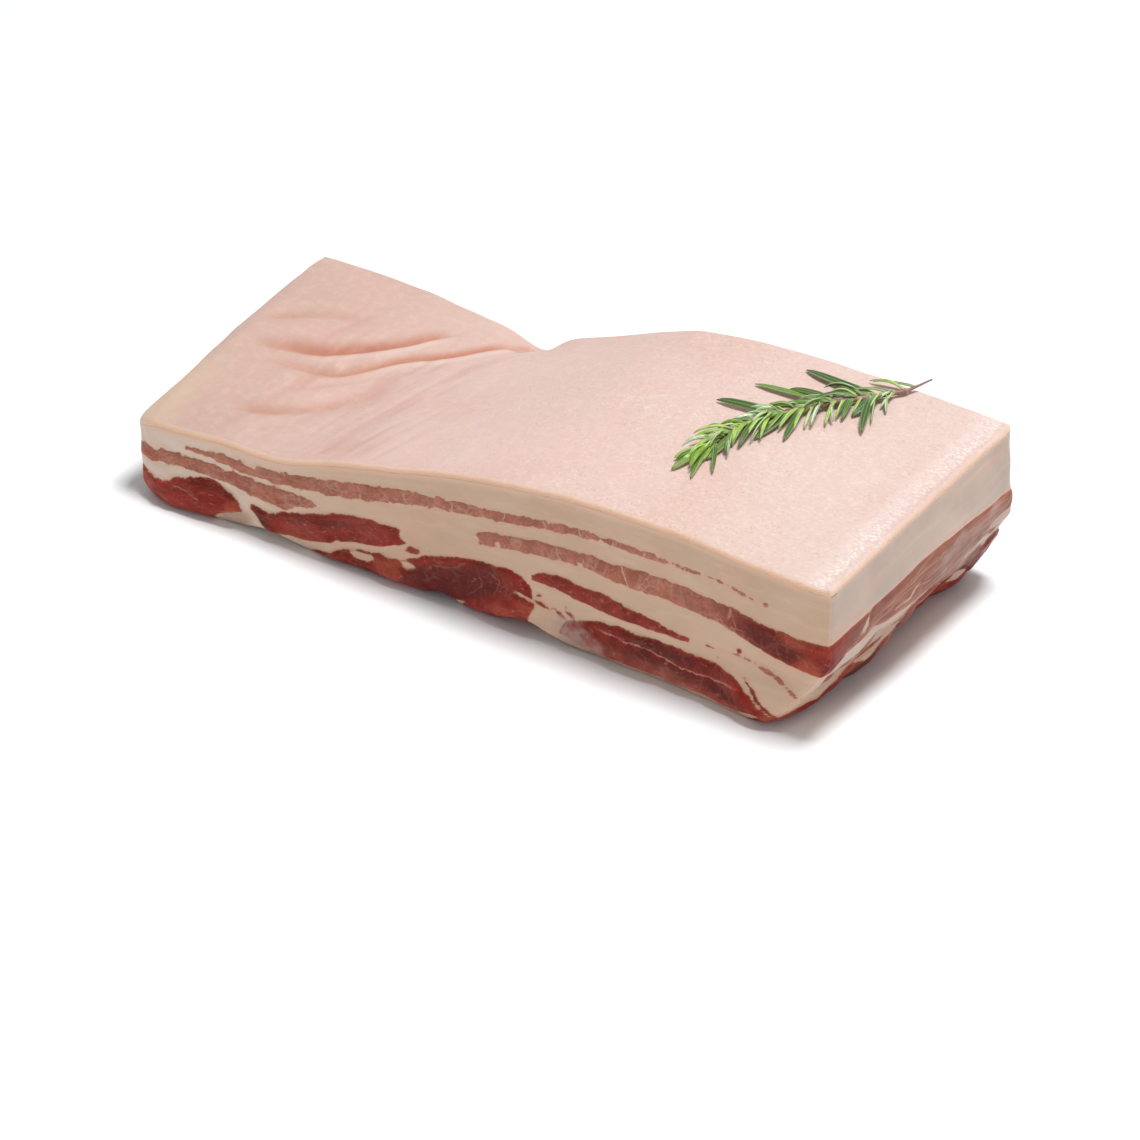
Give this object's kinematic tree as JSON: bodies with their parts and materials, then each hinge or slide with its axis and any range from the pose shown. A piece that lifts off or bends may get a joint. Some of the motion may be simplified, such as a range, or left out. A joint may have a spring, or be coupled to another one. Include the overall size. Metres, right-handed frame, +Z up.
{
  "type": "pork belly slab",
  "caption": "Thick raw slab of boneless pork belly with its rind on, cut square, streaked with lean and fat, with a sprig of rosemary lying on it.",
  "frame": {"origin": "on the underside, in the middle of the slab, at the height of the counter that it rests on", "axes": "+X along the slab from its thin flank end to its thick rib end, +Y from the long cut face in front to the one behind, +Z up through the rind"},
  "size_m": [0.3063, 0.1345, 0.0772],
  "materials": {
    "fat_and_rind": "moist pinkish white pork fat under a smooth pale pink rind",
    "lean_pale": "moist pinkish brown lean, finely marbled",
    "lean_middle": "moist mid red lean",
    "lean_dark": "moist dark red lean",
    "rosemary": "fresh green needles with pale undersides on a red-brown stem"
  },
  "bodies": {
    "root": {"fat_and_rind": "fat_and_rind", "lean_upper_streak": "lean_pale", "lean_flank_streak": "lean_pale", "lean_main_band": "lean_pale", "lean_wedge": "lean_middle", "lean_flank_muscle": "lean_dark", "lean_middle_muscle": "lean_dark", "lean_centre_muscle": "lean_dark", "lean_rib_muscle": "lean_dark", "rosemary_sprig": "rosemary"}
  },
  "joints": []
}
